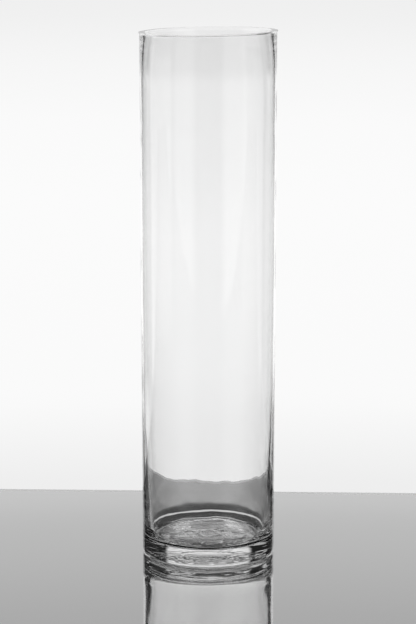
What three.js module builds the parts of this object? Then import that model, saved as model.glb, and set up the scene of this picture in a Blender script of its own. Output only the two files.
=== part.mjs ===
// A clear glass cylinder vase, as florists use for tall stems.
//
// Millimetres, +Z up. The origin is the centre of the foot, on the surface that the vase stands on.
// The vase is one piece of blown glass, made here as its three regions: a heavy base with the inner
// floor, a tube that thickens towards that base and towards the rim, and a flat-topped lip with a
// slight outward flare. Each region is a solid of revolution, and neighbours share one flat
// ring-shaped face.

import * as THREE from 'three';

// ---- driving dimensions ----

const HEIGHT = 400;
const FOOT_RADIUS = 50.6; // outside of the glass just above the foot
const TOP_RADIUS = 51.3; // outside of the glass just under the lip
const LIP_RADIUS = 52; // the lip's widest ring
const WALL_IN_MIDDLE = 1.4; // thinnest glass, about half way up
const WALL_GAINED_LOW = 4.0; // extra thickness at the foot, fading out upwards
const LOW_GAIN_HEIGHT = 95; // height at which that extra thickness has fallen to 1/e
const WALL_GAINED_AT_FLOOR = 1.3; // further thickness close to the floor
const FLOOR_GAIN_HEIGHT = 45; // height at which that has fallen to 1/e
const WALL_GAINED_AT_RIM = 3.4; // extra thickness at the rim, fading out downwards
const RIM_GAIN_HEIGHT = 36; // depth below the rim at which that extra thickness is gone
const RIM_GAIN_POWER = 1.4;
const RIM_ROUNDING = 0.5; // glass melted away from the inner edge of the rim
const RIM_ROUNDING_HEIGHT = 3;

const BASE_TOP = 24; // height of the face shared by heavy_base and cylinder_wall
const FLOOR_HEIGHT = 12; // top of the flat inner floor
const FILLET_WIDTH = 5.5; // tall, narrow elliptical corner between floor and wall
const FILLET_HEIGHT = BASE_TOP - FLOOR_HEIGHT; // it reaches up to the shared face
const FOOT_EDGE_RADIUS = 3.5; // rounding of the outer bottom edge
const FOOT_RING_WIDTH = 7; // flat ring that the vase stands on
const PUSH_UP = 1.2; // hollow under the centre of the base
const MOULD_RING_RADIUS = 13; // round bead that the mould's base valve leaves under the base
const MOULD_RING_WIDTH = 2.4;
const MOULD_RING_HEIGHT = 0.35;

const LIP_BOTTOM = 392; // height of the face shared by cylinder_wall and rim_lip
const FLARE_HEIGHT = 1.5; // the lip turns outwards over this height
const LIP_EDGE_RADIUS = 0.4; // rounding of the lip's two edges

const SEGMENTS = 72; // round the vase: a multiple of 4 keeps the outline centred on the axis
const FILLET_STEPS = 10;
const EDGE_STEPS = 5;
const PUSH_UP_STEPS = 3;
const MOULD_RING_STEPS = 4;
const WALL_STEPS = 14;
const FLARE_STEPS = 3;
const LIP_EDGE_STEPS = 3;

// ---- shape of the walls ----

// Outer radius of the wall at height z: a straight line with a slight mould draft.
function outerRadius(z) {
  const share = z / LIP_BOTTOM;
  return FOOT_RADIUS + (TOP_RADIUS - FOOT_RADIUS) * share;
}

// Inner radius of the wall at height z: the glass is thick low down and again at the rim.
function innerRadius(z) {
  const low = WALL_GAINED_LOW * Math.exp(-((z / LOW_GAIN_HEIGHT) ** 2));
  const lowest = WALL_GAINED_AT_FLOOR * Math.exp(-((z / FLOOR_GAIN_HEIGHT) ** 2));
  const rimShare = Math.max(0, 1 - (HEIGHT - z) / RIM_GAIN_HEIGHT);
  const rim = WALL_GAINED_AT_RIM * rimShare ** RIM_GAIN_POWER;
  const roundingShare = Math.max(0, 1 - (HEIGHT - z) / RIM_ROUNDING_HEIGHT);
  const melted = RIM_ROUNDING * roundingShare ** 2;
  return outerRadius(z) - WALL_IN_MIDDLE - low - lowest - rim + melted;
}

// Points on an arc about (centreR, centreZ), from one angle to another, both ends included.
function arc(centreR, centreZ, radius, fromAngle, toAngle, steps) {
  const points = [];
  for (let i = 0; i <= steps; i += 1) {
    const angle = fromAngle + ((toAngle - fromAngle) * i) / steps;
    points.push(new THREE.Vector2(centreR + radius * Math.cos(angle), centreZ + radius * Math.sin(angle)));
  }
  return points;
}

// ---- profiles, each a list of (radius, height), outside first ----

// Height of the underside at a radius: a smooth hollow, level at the axis and at the foot ring,
// with the mould's ring standing down from it.
function undersideHeight(radius) {
  const ringInner = FOOT_RADIUS - FOOT_EDGE_RADIUS - FOOT_RING_WIDTH;
  const hollow = (PUSH_UP * (1 + Math.cos((Math.PI * radius) / ringInner))) / 2;
  const acrossRing = Math.abs(radius - MOULD_RING_RADIUS) / (MOULD_RING_WIDTH / 2);
  const bead = acrossRing < 1 ? (MOULD_RING_HEIGHT * (1 + Math.cos(Math.PI * acrossRing))) / 2 : 0;
  return hollow - bead;
}

// The underside, from the axis out to the foot ring.
function undersideProfile() {
  const ringInner = FOOT_RADIUS - FOOT_EDGE_RADIUS - FOOT_RING_WIDTH;
  const beadInner = MOULD_RING_RADIUS - MOULD_RING_WIDTH / 2;
  const beadOuter = MOULD_RING_RADIUS + MOULD_RING_WIDTH / 2;
  const radii = [0];
  for (let i = 0; i <= MOULD_RING_STEPS; i += 1) {
    radii.push(beadInner + (MOULD_RING_WIDTH * i) / MOULD_RING_STEPS);
  }
  for (let i = 1; i <= PUSH_UP_STEPS; i += 1) {
    radii.push(beadOuter + ((ringInner - beadOuter) * i) / PUSH_UP_STEPS);
  }
  return radii.map((radius) => new THREE.Vector2(radius, undersideHeight(radius)));
}

// The inner corner, from the inside of the shared face down and in to the flat floor.
function filletProfile() {
  const points = [];
  for (let i = 0; i <= FILLET_STEPS; i += 1) {
    const angle = ((Math.PI / 2) * i) / FILLET_STEPS;
    const z = FLOOR_HEIGHT + FILLET_HEIGHT * (1 - Math.sin(angle));
    points.push(new THREE.Vector2(innerRadius(z) - FILLET_WIDTH * (1 - Math.cos(angle)), z));
  }
  return points;
}

function heavyBaseProfile() {
  return [
    ...undersideProfile(),
    ...arc(FOOT_RADIUS - FOOT_EDGE_RADIUS, FOOT_EDGE_RADIUS, FOOT_EDGE_RADIUS, -Math.PI / 2, 0, EDGE_STEPS),
    new THREE.Vector2(outerRadius(BASE_TOP), BASE_TOP),
    ...filletProfile(),
    new THREE.Vector2(0, FLOOR_HEIGHT),
  ];
}

// The tube between the base and the lip: a closed loop, up the outside and down the inside.
function cylinderWallProfile() {
  const span = LIP_BOTTOM - BASE_TOP;
  const inside = [];
  for (let i = 0; i <= WALL_STEPS; i += 1) {
    const share = (1 + Math.cos((Math.PI * i) / WALL_STEPS)) / 2; // heights crowd towards both ends
    const z = BASE_TOP + span * share;
    inside.push(new THREE.Vector2(innerRadius(z), z));
  }
  const outerBottom = new THREE.Vector2(outerRadius(BASE_TOP), BASE_TOP);
  const outerTop = new THREE.Vector2(outerRadius(LIP_BOTTOM), LIP_BOTTOM);
  return [outerBottom, outerTop, ...inside, outerBottom];
}

// The lip: the outside flares just under the rim, and the flat top has two rounded edges.
function rimLipProfile() {
  const edgeZ = HEIGHT - LIP_EDGE_RADIUS;
  const flareZ = edgeZ - FLARE_HEIGHT;
  const roundingZ = HEIGHT - RIM_ROUNDING_HEIGHT;
  const outer = outerRadius(LIP_BOTTOM);
  const inner = innerRadius(edgeZ);
  const start = new THREE.Vector2(outer, LIP_BOTTOM);
  const flare = [];
  for (let i = 0; i < FLARE_STEPS; i += 1) {
    const share = i / FLARE_STEPS;
    flare.push(new THREE.Vector2(outer + (LIP_RADIUS - outer) * share ** 2, flareZ + FLARE_HEIGHT * share));
  }
  return [
    start,
    ...flare,
    ...arc(LIP_RADIUS - LIP_EDGE_RADIUS, edgeZ, LIP_EDGE_RADIUS, 0, Math.PI / 2, LIP_EDGE_STEPS),
    ...arc(inner + LIP_EDGE_RADIUS, edgeZ, LIP_EDGE_RADIUS, Math.PI / 2, Math.PI, LIP_EDGE_STEPS),
    new THREE.Vector2(innerRadius(roundingZ), roundingZ),
    new THREE.Vector2(innerRadius(LIP_BOTTOM), LIP_BOTTOM),
    start,
  ];
}

// ---- solids ----

function clearGlass() {
  return new THREE.MeshStandardMaterial({ color: 0xe9eeed, roughness: 0.03, metalness: 0 });
}

// Turns a profile round the vase's axis. LatheGeometry turns about Y, so the solid is stood up on Z.
function turned(name, profile) {
  const geometry = new THREE.LatheGeometry(profile, SEGMENTS);
  geometry.rotateX(Math.PI / 2);
  const mesh = new THREE.Mesh(geometry, clearGlass());
  mesh.name = name;
  return mesh;
}

const vase = new THREE.Group();
vase.add(turned('heavy_base', heavyBaseProfile()));
vase.add(turned('cylinder_wall', cylinderWallProfile()));
vase.add(turned('rim_lip', rimLipProfile()));

export default vase;
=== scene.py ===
"""Looks of the clear glass cylinder vase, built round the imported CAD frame. Metres, +Z up.

The glass is one continuous grid, turned from a profile and given a fine relief. The grid is cut into
the same three closed pieces as the CAD frame. The cut faces are invisible, because the real glass has
no cut there.
"""
import math

import bpy
import numpy as np
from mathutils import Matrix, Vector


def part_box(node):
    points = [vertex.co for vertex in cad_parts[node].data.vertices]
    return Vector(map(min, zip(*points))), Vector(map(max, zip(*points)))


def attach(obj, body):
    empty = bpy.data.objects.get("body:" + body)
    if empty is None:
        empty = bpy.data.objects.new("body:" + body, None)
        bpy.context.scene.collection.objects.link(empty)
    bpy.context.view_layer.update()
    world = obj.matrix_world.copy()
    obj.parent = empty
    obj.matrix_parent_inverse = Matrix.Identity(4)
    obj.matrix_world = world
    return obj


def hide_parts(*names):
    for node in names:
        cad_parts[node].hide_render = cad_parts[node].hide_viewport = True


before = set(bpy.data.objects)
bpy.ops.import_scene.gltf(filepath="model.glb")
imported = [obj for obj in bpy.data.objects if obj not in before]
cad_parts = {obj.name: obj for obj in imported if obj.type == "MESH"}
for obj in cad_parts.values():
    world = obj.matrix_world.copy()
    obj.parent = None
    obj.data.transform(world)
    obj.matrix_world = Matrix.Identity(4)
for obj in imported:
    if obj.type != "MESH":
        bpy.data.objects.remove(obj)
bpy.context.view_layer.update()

MM = 0.001

# ---- sizes, from the frame where it gives them, and otherwise as the CAD part has them ----

base_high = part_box("heavy_base")[1]
wall_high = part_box("cylinder_wall")[1]
lip_low, lip_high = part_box("rim_lip")

HEIGHT = lip_high.z
BASE_TOP = base_high.z  # where the base and the wall meet
LIP_BOTTOM = lip_low.z  # where the wall and the lip meet
FOOT_RADIUS = 50.6 * MM
TOP_RADIUS = wall_high.x
LIP_RADIUS = lip_high.x

WALL_IN_MIDDLE = 1.4 * MM
WALL_GAINED_LOW = 4.0 * MM
LOW_GAIN_HEIGHT = 95 * MM
WALL_GAINED_AT_FLOOR = 1.3 * MM
FLOOR_GAIN_HEIGHT = 45 * MM
WALL_GAINED_AT_RIM = 3.4 * MM
RIM_GAIN_HEIGHT = 36 * MM
RIM_GAIN_POWER = 1.4
RIM_ROUNDING = 0.5 * MM
RIM_ROUNDING_HEIGHT = 3 * MM
FLARE_HEIGHT = 1.5 * MM
LIP_EDGE_RADIUS = 0.4 * MM

FLOOR_HEIGHT = 12 * MM
FILLET_WIDTH = 5.5 * MM
FILLET_HEIGHT = BASE_TOP - FLOOR_HEIGHT  # the floor's corner reaches up to the wall
FOOT_EDGE_RADIUS = 3.5 * MM
FOOT_RING_WIDTH = 7 * MM
PUSH_UP = 1.2 * MM
MOULD_RING_RADIUS = 13 * MM
MOULD_RING_WIDTH = 2.4 * MM
MOULD_RING_HEIGHT = 0.35 * MM

RIM_TILT = 0.0148  # the rim's slope along X
TILT_START = 300 * MM  # height at which the tilt sets in

SEGMENTS = 384  # round the vase
UNDERSIDE_STEPS = 70
FOOT_EDGE_STEPS = 12
SIDE_STEPS = 28
WALL_STEPS = 110
WALL_CROWDING = 1.3  # the wall's rings lie closer together low down
LIP_STEPS = 24
LIP_EDGE_STEPS = 6
FILLET_STEPS = 40
FLOOR_STEPS = 110

# ---- relief of the glass ----

# The slow ripples have this share of their height everywhere, and up to 1 more where the glass is thick.
RIPPLE_SHARE = 0.25
THICK_REACH = 30 * MM
AXIS_FADE_RADIUS = 12 * MM  # inside this, the relief dies away towards the axis

# Where the finer relief lies. An edge is (radius, width over which the relief sets in or ends), and
# a band is (middle height, reach up and down).
SLAB_TOP = 13 * MM
SLAB_INNER_EDGE = (43 * MM, 5 * MM)
UNDERSIDE_OUTER_EDGE = (42 * MM, 4 * MM)
UNDERSIDE_TOP = 4 * MM
LOW_WALL_BAND = (52 * MM, 18 * MM)
FILLET_BAND = (19 * MM, 7 * MM)
FILLET_INNER_EDGE = (38 * MM, 4 * MM)
FLOOR_RELIEF_TOP = FLOOR_HEIGHT + 4 * MM

# Ripples are (height, wavelength, seed), with single waves that differ by this much in length.
WAVE_SPREAD = (0.7, 1.4)
INSIDE_RIPPLE = (0.10 * MM, 28 * MM, 3)
OUTSIDE_RIPPLE = (0.035 * MM, 22 * MM, 5)
SLAB_RIPPLE = (0.012 * MM, 13 * MM, 13)
SLAB_GRAIN = (0.003 * MM, 3.6 * MM, 9)
UNDERSIDE_RIPPLE = (0.045 * MM, 9 * MM, 23)
FILLET_RIPPLE = (0.02 * MM, 8 * MM, 27)
LOW_WALL_RIPPLE = (0.018 * MM, 11 * MM, 19)
FLOOR_RING_WANDER = (1.0 * MM, 70 * MM, 15)  # how far the floor's rings stray from a circle

# Streaks are (height, wavelength across, wavelength along, seed), with these spreads.
ACROSS_SPREAD = (0.7, 1.5)
ALONG_SPREAD = (0.6, 2.5)
SLAB_STREAKS = (0.009 * MM, 5 * MM, 24 * MM, 7)
UNDERSIDE_STREAKS = (0.05 * MM, 6 * MM, 50 * MM, 21)
FLOOR_STREAKS = (0.015 * MM, 9 * MM, 90 * MM, 11)

FLOOR_RINGS = [(36 * MM, 1.6 * MM, 0.15 * MM), (8 * MM, 1.8 * MM, 0.3 * MM)]  # radius, width, height

SEAM_ANGLE = math.radians(270 - 3.3)  # the mould seam; 270 degrees is the middle of the front
SEAM_WIDTH = 0.7 * MM
SEAM_HEIGHT = 0.035 * MM
SEAM_SHARE = 0.35  # of that height all the way up, and the rest low down
SEAM_REACH = 70 * MM
DROP_WIDTH = 0.8 * MM
DROPS = [  # small raised drops near the seam, under the rim: angle, height, length, lift
    (math.radians(273.0), 394.5 * MM, 3 * MM, 0.2 * MM),
    (math.radians(272.2), 376 * MM, 3.2 * MM, 0.25 * MM),
    (math.radians(266.5), 363 * MM, 2.4 * MM, 0.25 * MM),
    (math.radians(270.2), 392.0 * MM, 2 * MM, 0.15 * MM),
]


# ---- profile ----

def spaced(first, last, steps):
    """Values from first to last, both included."""
    return [first + (last - first) * i / steps for i in range(steps + 1)]


def arc(centre_r, centre_z, radius, first, last, steps):
    angles = spaced(first, last, steps)
    return [(centre_r + radius * math.cos(a), centre_z + radius * math.sin(a)) for a in angles]


def outer_radius(z):
    return FOOT_RADIUS + (TOP_RADIUS - FOOT_RADIUS) * z / LIP_BOTTOM


def inner_radius(z):
    """Inside of the glass: thick low down and at the rim, with the floor's rounded corner."""
    wall = WALL_IN_MIDDLE
    wall += WALL_GAINED_LOW * math.exp(-(z / LOW_GAIN_HEIGHT) ** 2)
    wall += WALL_GAINED_AT_FLOOR * math.exp(-(z / FLOOR_GAIN_HEIGHT) ** 2)
    below_rim = HEIGHT - z
    wall += WALL_GAINED_AT_RIM * max(0.0, 1 - below_rim / RIM_GAIN_HEIGHT) ** RIM_GAIN_POWER
    wall -= RIM_ROUNDING * max(0.0, 1 - below_rim / RIM_ROUNDING_HEIGHT) ** 2
    below_wall = max(0.0, 1 - (z - FLOOR_HEIGHT) / FILLET_HEIGHT)
    corner = FILLET_WIDTH * (1 - math.sqrt(max(0.0, 1 - below_wall ** 2)))
    return outer_radius(z) - wall - corner


def underside_height(r):
    """A smooth hollow inside the foot ring, with the bead that the mould leaves."""
    ring_inner = FOOT_RADIUS - FOOT_EDGE_RADIUS - FOOT_RING_WIDTH
    hollow = PUSH_UP * (1 + math.cos(math.pi * min(r / ring_inner, 1))) / 2
    across = abs(r - MOULD_RING_RADIUS) / (MOULD_RING_WIDTH / 2)
    bead = MOULD_RING_HEIGHT * (1 + math.cos(math.pi * across)) / 2 if across < 1 else 0
    return hollow - bead


def base_outside():
    """From the axis under the base, round the foot's edge and up to the wall."""
    flat_edge = FOOT_RADIUS - FOOT_EDGE_RADIUS
    under = [(r, underside_height(r)) for r in spaced(0, flat_edge, UNDERSIDE_STEPS)]
    edge = arc(flat_edge, FOOT_EDGE_RADIUS, FOOT_EDGE_RADIUS, -math.pi / 2, 0, FOOT_EDGE_STEPS)
    side = [(outer_radius(z), z) for z in spaced(FOOT_EDGE_RADIUS, BASE_TOP, SIDE_STEPS)]
    return under + edge[1:] + side[1:]


def lip_outline():
    """From the wall's outside, up the flare, over the flat top and down to the wall's inside."""
    edge_z = HEIGHT - LIP_EDGE_RADIUS
    outside = []
    for z in spaced(LIP_BOTTOM, edge_z, LIP_STEPS):
        flare = max(0.0, (z - (edge_z - FLARE_HEIGHT)) / FLARE_HEIGHT)
        outside.append((outer_radius(z) + (LIP_RADIUS - outer_radius(z)) * flare ** 2, z))
    flat_outer = LIP_RADIUS - LIP_EDGE_RADIUS
    flat_inner = inner_radius(HEIGHT) + LIP_EDGE_RADIUS
    outer_edge = arc(flat_outer, edge_z, LIP_EDGE_RADIUS, 0, math.pi / 2, LIP_EDGE_STEPS)
    top = [(r, HEIGHT) for r in spaced(flat_outer, flat_inner, LIP_EDGE_STEPS)]
    inner_edge = arc(flat_inner, edge_z, LIP_EDGE_RADIUS, math.pi / 2, math.pi, LIP_EDGE_STEPS)
    inside = [(inner_radius(z), z) for z in spaced(edge_z, LIP_BOTTOM, LIP_STEPS)]
    return outside[1:] + outer_edge[1:] + top[1:] + inner_edge[1:] + inside[1:]


def base_inside():
    """From the wall's inside, down the rounded corner and in to the axis."""
    depths = [(1 - share) ** 2 for share in spaced(0, 1, FILLET_STEPS)[1:]]
    heights = [FLOOR_HEIGHT + FILLET_HEIGHT * depth for depth in depths]
    fillet = [(inner_radius(z), z) for z in heights]
    floor = [(r, FLOOR_HEIGHT) for r in spaced(inner_radius(FLOOR_HEIGHT), 0, FLOOR_STEPS)]
    return fillet + floor[1:]


def whole_profile():
    """(radius, height) from axis to axis, and the places of the four rings where pieces meet."""
    shares = spaced(0, 1, WALL_STEPS)
    heights = [BASE_TOP + (LIP_BOTTOM - BASE_TOP) * share ** WALL_CROWDING for share in shares]
    wall_outside = [(outer_radius(z), z) for z in heights[1:]]
    wall_inside = [(inner_radius(z), z) for z in reversed(heights[:-1])]
    stretches = [base_outside(), wall_outside, lip_outline(), wall_inside, base_inside()]
    joints = [sum(len(s) for s in stretches[:i]) - 1 for i in range(1, 5)]
    return np.array(sum(stretches, [])), joints


# ---- relief ----

def waves(theta, s, layer, count=28):
    """Smooth random relief, the same all ways and closed round the vase."""
    height, wavelength, seed = layer
    rng = np.random.default_rng(seed)
    total = np.zeros_like(theta)
    for _ in range(count):
        angle = rng.uniform(0, math.pi)
        k = 2 * math.pi / (wavelength * rng.uniform(*WAVE_SPREAD))
        turns = round(k * math.cos(angle) * FOOT_RADIUS)
        phase = rng.uniform(0, 2 * math.pi)
        total += np.cos(turns * theta + k * math.sin(angle) * s + phase)
    return height * total / math.sqrt(count / 2) / 2


def streaks(theta, s, layer, count=24):
    """Long ripples: short waves across the path, long waves round the vase."""
    height, across, along, seed = layer
    rng = np.random.default_rng(seed)
    total = np.zeros_like(theta)
    for _ in range(count):
        k = 2 * math.pi / (across * rng.uniform(*ACROSS_SPREAD))
        turns = round(2 * math.pi * FOOT_RADIUS / (along * rng.uniform(*ALONG_SPREAD)))
        turns *= rng.choice((-1, 1))
        phase = rng.uniform(0, 2 * math.pi)
        total += np.cos(turns * theta + k * s + phase)
    return height * total / math.sqrt(count / 2) / 2


def rising(value, start, width):
    """0 up to start, then a straight rise to 1 over the width."""
    return np.clip((value - start) / width, 0, 1)


def in_band(z, middle, reach):
    """1 in the middle of a band of heights, falling off steeply at its reach."""
    return np.exp(-((z - middle) / reach) ** 4)


def thickness_share(z):
    return RIPPLE_SHARE + np.exp(-z / THICK_REACH)


def axis_fade(r):
    """Holds the relief back near the axis, where the grid closes to a point."""
    return np.clip(r / AXIS_FADE_RADIUS, 0, 1) ** 2


def outside_relief(theta, s, r, z):
    """Slow ripples, the crumbled skin of the thick base, its underside and the mould seam."""
    relief = waves(theta, s, OUTSIDE_RIPPLE) * thickness_share(z)
    slab = np.exp(-(z / SLAB_TOP) ** 6) * rising(r, *SLAB_INNER_EDGE)
    for layer in (SLAB_GRAIN, SLAB_RIPPLE):
        relief += waves(theta, s, layer) * slab
    relief += streaks(theta, s, SLAB_STREAKS) * slab
    underside = (1 - rising(r, *UNDERSIDE_OUTER_EDGE)) * (z < UNDERSIDE_TOP)
    relief += streaks(theta, r, UNDERSIDE_STREAKS) * underside
    relief += waves(theta, r, UNDERSIDE_RIPPLE) * underside
    seam = np.exp(-(((theta - SEAM_ANGLE) * FOOT_RADIUS) / SEAM_WIDTH) ** 2)
    relief += SEAM_HEIGHT * seam * (SEAM_SHARE + (1 - SEAM_SHARE) * np.exp(-(z / SEAM_REACH) ** 2))
    return relief * axis_fade(r)


def drops_relief(theta, z):
    """The small raised drops under the rim."""
    relief = np.zeros_like(theta)
    for angle, height, length, lift in DROPS:
        across = (theta - angle) * FOOT_RADIUS / DROP_WIDTH
        along = (z - height) / length
        relief += lift * np.exp(-across ** 2 - along ** 4)
    return relief


def floor_relief(theta, r):
    """Faint streaks round the floor, and the rings left by the mould's plunger."""
    relief = streaks(theta, r, FLOOR_STREAKS) * axis_fade(r)
    wander = waves(theta, 0 * theta, FLOOR_RING_WANDER)
    for radius, width, height in FLOOR_RINGS:
        relief += height * np.exp(-((r - radius - wander) / width) ** 2)
    return relief


def inside_relief(theta, s, r, z):
    """Slow ripples, stronger low down, with finer ones just above the floor's corner and in it."""
    relief = waves(theta, s, INSIDE_RIPPLE) * thickness_share(z) * axis_fade(r)
    relief += floor_relief(theta, r) * (z < FLOOR_RELIEF_TOP)
    relief += waves(theta, s, LOW_WALL_RIPPLE) * in_band(z, *LOW_WALL_BAND)
    fillet = in_band(z, *FILLET_BAND) * rising(r, *FILLET_INNER_EDGE)
    relief += waves(theta, s, FILLET_RIPPLE) * fillet
    return relief


def surface():
    """The whole skin as a grid of points, ring by ring, and the rings where pieces meet."""
    profile, joints = whole_profile()
    count = len(profile)
    tangent = np.gradient(profile, axis=0)
    tangent /= np.maximum(np.linalg.norm(tangent, axis=1), 1e-12)[:, None]
    out_r = tangent[:, 1][:, None]
    out_z = -tangent[:, 0][:, None]
    steps = np.linalg.norm(np.diff(profile, axis=0), axis=1)
    path = np.concatenate([[0], np.cumsum(steps)])
    theta, s = np.meshgrid(np.arange(SEGMENTS) * 2 * math.pi / SEGMENTS, path)
    r = np.repeat(profile[:, :1], SEGMENTS, 1)
    z = np.repeat(profile[:, 1:], SEGMENTS, 1)
    is_outside = (np.arange(count) <= joints[1])[:, None]
    is_inside = (np.arange(count) >= joints[2])[:, None]
    relief = is_outside * (outside_relief(theta, s, r, z) + drops_relief(theta, z))
    relief += is_inside * inside_relief(theta, s, r, z)
    r = r + relief * out_r
    points = np.stack([r * np.cos(theta), r * np.sin(theta), z + relief * out_z], axis=2)
    tilted = np.clip((z - TILT_START) / (HEIGHT - TILT_START), 0, 1) ** 2
    points[..., 2] += points[..., 0] * RIM_TILT * tilted
    return points, joints


def normals_of(points):
    """Smooth normals of the whole skin, so that no shading break shows where pieces meet."""
    along = np.gradient(points, axis=0)
    around = (np.roll(points, -1, axis=1) - np.roll(points, 1, axis=1)) / 2
    normals = np.cross(around, along)
    normals /= np.maximum(np.linalg.norm(normals, axis=2, keepdims=True), 1e-15)
    normals[0] = (0, 0, -1)
    normals[-1] = (0, 0, 1)
    return normals


# ---- pieces ----

def linked(obj):
    """The object, now in the scene."""
    bpy.context.scene.collection.objects.link(obj)
    return obj


def band_faces(start_a, start_b, a_is_pole, b_is_pole):
    """Faces between two neighbouring rings, either of which may be the single point on the axis."""
    faces = []
    for i in range(SEGMENTS):
        j = (i + 1) % SEGMENTS
        if a_is_pole:
            faces.append((start_a, start_b + j, start_b + i))
        elif b_is_pole:
            faces.append((start_a + i, start_a + j, start_b))
        else:
            faces.append((start_a + i, start_a + j, start_b + j, start_b + i))
    return faces


def build_piece(name, points, normals, rings, fused):
    """A closed piece made of some of the skin's rings.

    The bands that start at a position in `fused` are the flat faces shared with a neighbour. A
    piece that doesn't reach the axis closes from its last ring to its first.
    """
    poles = (0, len(points) - 1)
    verts = []
    piece_normals = []
    starts = []
    for ring in rings:
        starts.append(len(verts))
        if ring in poles:
            verts.append(points[ring, 0] * (0, 0, 1))
            piece_normals.append(normals[ring, 0])
        else:
            verts.extend(points[ring])
            piece_normals.extend(normals[ring])
    bands = [(i, i + 1) for i in range(len(rings) - 1)]
    if 0 not in rings:
        bands.append((len(rings) - 1, 0))
    faces = []
    slots = []
    for a, b in bands:
        band = band_faces(starts[a], starts[b], rings[a] in poles, rings[b] in poles)
        faces += band
        slots += [int(a in fused)] * len(band)
    mesh = bpy.data.meshes.new(name)
    mesh.from_pydata([tuple(v) for v in verts], [], faces)
    mesh.polygons.foreach_set("use_smooth", [True] * len(faces))
    mesh.polygons.foreach_set("material_index", slots)
    mesh.update()
    mesh.normals_split_custom_set_from_vertices([tuple(v) for v in piece_normals])
    return linked(bpy.data.objects.new(name, mesh))


# ---- materials ----

def new_material(name):
    """A new material and its node tree."""
    material = bpy.data.materials.new(name)
    material.use_nodes = True
    return material, material.node_tree


def grey(value):
    """A neutral colour of that brightness."""
    return (value, value, value, 1)


def noise_node(tree, scale, detail=2):
    noise = tree.nodes.new("ShaderNodeTexNoise")
    noise.inputs["Scale"].default_value = scale
    noise.inputs["Detail"].default_value = detail
    return noise


def two_colours(tree, factor, first, second):
    """A colour ramp between two colours, driven by a texture."""
    ramp = tree.nodes.new("ShaderNodeValToRGB")
    ramp.color_ramp.elements[0].color = first
    ramp.color_ramp.elements[1].color = second
    tree.links.new(factor, ramp.inputs[0])
    return ramp


def glass_material():
    """Colourless glass whose tint and skin wander very slightly."""
    material, tree = new_material("clear_glass")
    shader = tree.nodes["Principled BSDF"]
    shader.inputs["Transmission Weight"].default_value = 1
    shader.inputs["Roughness"].default_value = 0.0
    shader.inputs["IOR"].default_value = 1.5
    place = tree.nodes.new("ShaderNodeTexCoord")
    clouds = noise_node(tree, 9, 3)
    tint = two_colours(tree, clouds.outputs[0], (0.975, 0.976, 0.976, 1), (0.992, 0.992, 0.992, 1))
    tint.color_ramp.elements[0].position = 0.3
    tint.color_ramp.elements[1].position = 0.7
    skin = noise_node(tree, 140)
    bump = tree.nodes.new("ShaderNodeBump")
    bump.inputs["Strength"].default_value = 0.008
    bump.inputs["Distance"].default_value = 1 * MM
    tree.links.new(place.outputs["Object"], clouds.inputs["Vector"])
    tree.links.new(place.outputs["Object"], skin.inputs["Vector"])
    tree.links.new(tint.outputs[0], shader.inputs["Base Color"])
    tree.links.new(skin.outputs[0], bump.inputs["Height"])
    tree.links.new(bump.outputs[0], shader.inputs["Normal"])
    return material


def joint_material():
    """The faces where two pieces meet: the real glass is fused there, so they don't show."""
    material, tree = new_material("fused_joint")
    tree.nodes.clear()
    out = tree.nodes.new("ShaderNodeOutputMaterial")
    clear = tree.nodes.new("ShaderNodeBsdfTransparent")
    tree.links.new(clear.outputs[0], out.inputs["Surface"])
    return material


def table_top_material():
    """A pale, glossy sheet: mostly mirror, over a faintly clouded grey."""
    material, tree = new_material("table_top")
    tree.nodes.clear()
    out = tree.nodes.new("ShaderNodeOutputMaterial")
    mix = tree.nodes.new("ShaderNodeMixShader")
    diffuse = tree.nodes.new("ShaderNodeBsdfDiffuse")
    cloud = noise_node(tree, 4)
    colour = two_colours(tree, cloud.outputs[0], grey(0.29), grey(0.31))
    gloss = tree.nodes.new("ShaderNodeBsdfGlossy")
    gloss.inputs["Roughness"].default_value = 0.02
    gloss.inputs["Color"].default_value = grey(0.95)
    mix.inputs[0].default_value = 0.76
    tree.links.new(colour.outputs[0], diffuse.inputs["Color"])
    tree.links.new(diffuse.outputs[0], mix.inputs[1])
    tree.links.new(gloss.outputs[0], mix.inputs[2])
    tree.links.new(mix.outputs[0], out.inputs["Surface"])
    return material


def matt_material_with_painted_glow(name, shade, painted_glow):
    """Fine-grained matt stuff with painted light: a faint emission makes it glow as a lit sheet's edge
    does, though it is no lamp.
    """
    material, tree = new_material(name)
    shader = tree.nodes["Principled BSDF"]
    shader.inputs["Roughness"].default_value = 0.6
    # Painted light: this emission stands in for light falling on the table's edge.
    shader.inputs["Emission Color"].default_value = grey(1)
    shader.inputs["Emission Strength"].default_value = painted_glow
    grain = noise_node(tree, 300)
    colour = two_colours(tree, grain.outputs[0], grey(shade * 0.94), grey(shade))
    tree.links.new(colour.outputs[0], shader.inputs["Base Color"])
    return material


# ---- the vase ----

points, (base_wall, wall_lip, lip_wall, wall_base) = surface()
normals = normals_of(points)
base_rings = list(range(base_wall + 1)) + list(range(wall_base, len(points)))
wall_rings = list(range(base_wall, wall_lip + 1)) + list(range(lip_wall, wall_base + 1))
lip_rings = list(range(wall_lip, lip_wall + 1))

# Each piece: its name, the CAD node it replaces, its rings and the bands that are fused faces.
PIECES = [
    ("vase_base", "heavy_base", base_rings, {base_wall}),
    ("vase_wall", "cylinder_wall", wall_rings, {wall_lip - base_wall, len(wall_rings) - 1}),
    ("vase_lip", "rim_lip", lip_rings, {len(lip_rings) - 1}),
]

glass = glass_material()
joint = joint_material()
for name, node, rings, fused in PIECES:
    obj = build_piece(name, points, normals, rings, fused)
    obj.data.materials.append(glass)
    obj.data.materials.append(joint)
    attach(obj, "root")
    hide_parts(node)

# ---- the table ----

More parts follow.
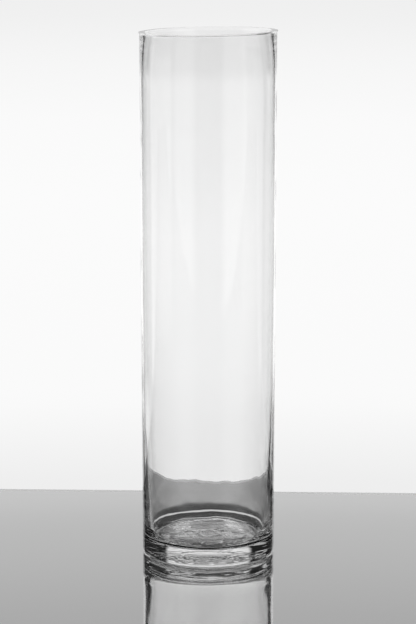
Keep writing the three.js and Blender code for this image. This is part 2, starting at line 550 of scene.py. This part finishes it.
TABLE_FAR = 0.170  # the table ends close behind the vase
TABLE_NEAR = -0.9
TABLE_HALF_WIDTH = 3.0
TABLE_THICKNESS = 0.008
TABLE_DROP = 0.0002  # keeps the table's top clear of the foot
TABLE_TURN = math.radians(-2.2)
EDGE_STRIP = 0.0045  # pale line along the far edge; its paleness is painted light, the glow of the side material
EDGE_FALL = 0.0035  # sloping corner beyond it, given painted shade by a darker copy of the edge material
EDGE_FALL_DEPTH = 0.0008


def table_mesh():
    """A sheet whose top is slot 0, far strip and sides are slot 1, and far corner is slot 2."""
    corner = TABLE_FAR + EDGE_FALL
    rows = [(TABLE_NEAR, -TABLE_THICKNESS), (TABLE_NEAR, 0), (TABLE_FAR - EDGE_STRIP, 0),
            (TABLE_FAR, 0), (corner, -EDGE_FALL_DEPTH), (corner, -TABLE_THICKNESS)]
    verts = [(side * TABLE_HALF_WIDTH, y, z) for y, z in rows for side in (-1, 1)]
    faces = []
    for i in range(len(rows)):
        j = (i + 1) % len(rows)
        faces.append((2 * i, 2 * i + 1, 2 * j + 1, 2 * j))
    faces.append(tuple(range(0, len(verts), 2)))
    faces.append(tuple(range(len(verts) - 1, 0, -2)))
    mesh = bpy.data.meshes.new("table")
    mesh.from_pydata(verts, [], faces)
    mesh.polygons.foreach_set("material_index", [1, 0, 1, 2, 1, 1, 1, 1])
    mesh.update()
    return mesh


table = linked(bpy.data.objects.new("table", table_mesh()))
table.data.materials.append(table_top_material())
# Painted light: the side and far strip glow faintly instead of being lit.
table.data.materials.append(matt_material_with_painted_glow("table_side_painted_glow", 0.9, 0.3))
# Painted shade: the corner is a darker copy of the edge material with less painted glow.
table.data.materials.append(matt_material_with_painted_glow("table_corner_painted_shade", 0.5, 0.2))
table.location.z = -TABLE_DROP
table.rotation_euler.z = TABLE_TURN

# ---- the studio ----
#
# A direction is an azimuth, 0 straight behind the vase and positive to the right, and an elevation,
# both in degrees. A list gives brightness as (elevation, brightness) stops, and holds its end values
# beyond them. A span of azimuths is (middle, half width, softness).

# What the camera sees behind the vase, and what the bare table mirrors.
PLAIN_WALL = [(-16, 0.84), (-15, 0.86), (-13, 0.955), (-8, 0.965), (-6, 0.955), (-4.5, 0.92),
              (-3.3, 0.87), (0, 0.85)]
TABLE_SKY = [(-30, 0.9), (-16, 0.97), (-13, 1.0), (-4.5, 1.0), (-3.3, 0.95), (0, 0.88), (12, 0.80),
             (15.4, 0.76), (16.05, 0.67), (17.05, 0.62), (18.55, 0.53), (20, 0.54), (26, 0.62), (38, 0.66)]

# What the glass sees: a bright backdrop between dark sides, which give the glass its dark edges.
BACKDROP = [(-30, 0.9), (-16, 0.97), (-13, 1.04), (-9, 1.05), (-5.5, 0.97), (0, 0.88), (12, 0.80),
            (15.4, 0.76), (16.05, 0.67), (17.05, 0.62), (18.55, 0.53), (19.8, 0.40), (21.3, 0.18),
            (23, 0.09), (28, 0.07)]
BACKDROP_SPAN = (0, 28, 2.5)
WINGS = [(-17, 0.0), (-13, 0.4), (-8, 0.4), (-5.5, 0.0)]  # dimmer cloth at both sides of it
WINGS_SPAN = (0, 66, 8)
FLANK = [(-13, 0), (-11, 0.5), (-6, 0.6), (-4, 0.8), (2, 0.8), (6, 0)]  # fills the wall inside its edges
FLANK_OUTER_SPAN = (0, 59, 5)
FLANK_INNER_SPAN = (0, 43, 4)

# Fainter light from the left and from the camera's side of the room.
LEFT_GLOW = [(-30, 0.85), (0, 0.85), (10.5, 0.8), (13, 0.04)]
LEFT_SPAN = (-90, 25, 4)
FRONT = [(-30, 0.85), (0, 0.85), (14, 0.8), (18, 0.65), (22, 0.45), (30, 0.05)]
FRONT_FILL = 0.06  # how much of that the side of the room behind the camera gives
BACK_HALF_SPAN = (0, 88, 10)
FRONT_PATCH = [(-28, 0.85), (0, 0.85), (4, 0.5), (22, 0.5), (25, 0.05)]
FRONT_PATCH_SPAN = (135, 20, 8)

# Small lights at the back left corner, and at both back corners, that make the thick base sparkle.
CORNER_BELOW = [(-16, 1.0), (-13.5, 0.0)]
CORNER_BELOW_SPAN = (-45, 14, 4)
CORNER_ABOVE = [(18, 0.0), (19.5, 0.45), (24, 0.45), (27.5, 0.75), (34, 0.75), (39, 0.4)]
CORNER_ABOVE_SPAN = (-45, 10, 3)
SPARKLE = [(20.5, 0.0), (24, 0.25), (38, 0.12)]
SPARKLE_SPANS = ((45, 24, 4), (-45, 24, 4))

# Ring lights overhead, the lowest of which outlines the floor.
LOW_RING = [(27.8, 0), (28.8, 0.95), (30.4, 0.95), (31.6, 0)]
LOW_RING_SPAN = (0, 80, 8)
RING_LIGHTS = [(53, 0), (54.5, 1), (56.5, 1), (58, 0), (61, 0), (62.5, 1), (65, 1), (66.5, 0)]
OVERHEAD = 1.3
DARK = 0.012  # everywhere else

LOW_SKY = (-40, 40)  # elevations that most of the lists cover
RING_SKY = (20, 40)
HIGH_SKY = (40, 80)

world = bpy.data.worlds.new("studio")
bpy.context.scene.world = world
world.use_nodes = True
sky = world.node_tree
sky.nodes.clear()


def sky_math(operation, *values):
    """A Math node in the world, fed with numbers or with other nodes' outputs."""
    node = sky.nodes.new("ShaderNodeMath")
    node.operation = operation
    for i, value in enumerate(values):
        if isinstance(value, (int, float)):
            node.inputs[i].default_value = value
        else:
            sky.links.new(value, node.inputs[i])
    return node.outputs[0]


def degrees_of(angle):
    return sky_math("MULTIPLY", angle, 180 / math.pi)


def span(middle, half_width, softness):
    """1 at azimuths within the half width of the middle, fading to 0 beyond it."""
    away = sky_math("ABSOLUTE", sky_math("SUBTRACT", azimuth, middle))
    past = sky.nodes.new("ShaderNodeMapRange")
    past.interpolation_type = "SMOOTHSTEP"
    past.inputs["From Min"].default_value = -softness
    past.inputs["From Max"].default_value = softness
    sky.links.new(sky_math("SUBTRACT", away, half_width), past.inputs["Value"])
    return sky_math("SUBTRACT", 1, past.outputs[0])


def by_elevation(stops, limits=LOW_SKY):
    """Brightness by elevation, straight between the stops."""
    low, high = limits
    share = sky.nodes.new("ShaderNodeMapRange")
    share.inputs["From Min"].default_value = low
    share.inputs["From Max"].default_value = high
    sky.links.new(elevation, share.inputs["Value"])
    ramp = sky.nodes.new("ShaderNodeValToRGB")
    elements = ramp.color_ramp.elements
    elements.remove(elements[-1])
    for i, (degrees, brightness) in enumerate(stops):
        place = (degrees - low) / (high - low)
        element = elements[0] if i == 0 else elements.new(place)
        element.position = place
        element.color = grey(brightness)
    sky.links.new(share.outputs[0], ramp.inputs[0])
    return ramp.outputs[0]


def panel(stops, place, limits=LOW_SKY):
    """A light with its own brightness by elevation, over one span of azimuths."""
    return sky_math("MULTIPLY", by_elevation(stops, limits), span(*place))


def brightest(*lights):
    """The brightest of the lights in each direction."""
    result = lights[0]
    for light in lights[1:]:
        result = sky_math("MAXIMUM", result, light)
    return result


def seen_by_glass():
    """The studio as the glass sees it, by direction."""
    spread = brightest(span(*BACKDROP_SPAN), panel(WINGS, WINGS_SPAN))
    backdrop = sky_math("MULTIPLY", by_elevation(BACKDROP), spread)
    front_half = sky_math("SUBTRACT", 1, span(*BACK_HALF_SPAN))
    front = sky_math("MULTIPLY", sky_math("MULTIPLY", by_elevation(FRONT), FRONT_FILL), front_half)
    flank_span = sky_math("SUBTRACT", span(*FLANK_OUTER_SPAN), span(*FLANK_INNER_SPAN))
    flank = sky_math("MULTIPLY", by_elevation(FLANK), flank_span)
    sparkle_span = brightest(*[span(*place) for place in SPARKLE_SPANS])
    sparkle = sky_math("MULTIPLY", by_elevation(SPARKLE), sparkle_span)
    overhead = sky_math("MULTIPLY", by_elevation(RING_LIGHTS, HIGH_SKY), OVERHEAD)
    corners = (panel(CORNER_BELOW, CORNER_BELOW_SPAN), panel(CORNER_ABOVE, CORNER_ABOVE_SPAN))
    patches = (panel(LEFT_GLOW, LEFT_SPAN), panel(FRONT_PATCH, FRONT_PATCH_SPAN))
    low_ring = panel(LOW_RING, LOW_RING_SPAN, RING_SKY)
    return brightest(backdrop, front, flank, sparkle, overhead, low_ring, DARK, *corners, *patches)


def mixed(share, first, second):
    """The first value where the share is 0, the second where it is 1."""
    node = sky.nodes.new("ShaderNodeMix")
    node.data_type = "FLOAT"
    sky.links.new(share, node.inputs[0])
    sky.links.new(first, node.inputs[2])
    sky.links.new(second, node.inputs[3])
    return node.outputs[0]


def straight_off_table(path):
    """1 for a ray mirrored upwards once, without having passed through glass.

    The way out to the sky counts as a bounce too, so such a ray has a depth of 2.
    """
    outside_glass = sky_math("LESS_THAN", path.outputs["Transmission Depth"], 0.5)
    first_bounce = sky_math("LESS_THAN", path.outputs["Ray Depth"], 2.5)
    upwards = sky_math("GREATER_THAN", elevation, 0)
    mirrored = sky_math("MULTIPLY", path.outputs["Is Glossy Ray"], upwards)
    return sky_math("MULTIPLY", sky_math("MULTIPLY", outside_glass, first_bounce), mirrored)


direction = sky.nodes.new("ShaderNodeTexCoord")
axes = sky.nodes.new("ShaderNodeSeparateXYZ")
sky.links.new(direction.outputs["Generated"], axes.inputs[0])
azimuth = degrees_of(sky_math("ARCTAN2", axes.outputs["X"], axes.outputs["Y"]))
elevation = degrees_of(sky_math("ARCSINE", axes.outputs["Z"]))

path = sky.nodes.new("ShaderNodeLightPath")
studio = mixed(straight_off_table(path), seen_by_glass(), by_elevation(TABLE_SKY))
studio = mixed(path.outputs["Is Camera Ray"], studio, by_elevation(PLAIN_WALL))
background = sky.nodes.new("ShaderNodeBackground")
sky_output = sky.nodes.new("ShaderNodeOutputWorld")
sky.links.new(studio, background.inputs["Color"])
sky.links.new(background.outputs[0], sky_output.inputs["Surface"])

# ---- camera ----

CAMERA_PLACE = (-0.0002, -1.6995, 0.5128)
CAMERA_DOWN = math.radians(10.84)  # how far the camera looks down
LENS = 131.3  # millimetres, as is the sensor
SENSOR = 36
NEAREST = 0.01
BOUNCES = 32  # enough for light to find its way through the thick base
MIRROR_BOUNCES = 12

camera_data = bpy.data.cameras.new("camera")
camera_data.lens = LENS
camera_data.sensor_width = SENSOR
camera_data.clip_start = NEAREST
camera = linked(bpy.data.objects.new("camera", camera_data))
camera.location = CAMERA_PLACE
camera.rotation_euler = (math.pi / 2 - CAMERA_DOWN, 0, 0)
bpy.context.scene.camera = camera

scene = bpy.context.scene
scene.view_settings.view_transform = "Standard"
scene.cycles.max_bounces = BOUNCES
scene.cycles.transmission_bounces = BOUNCES
scene.cycles.glossy_bounces = MIRROR_BOUNCES
scene.cycles.transparent_max_bounces = BOUNCES
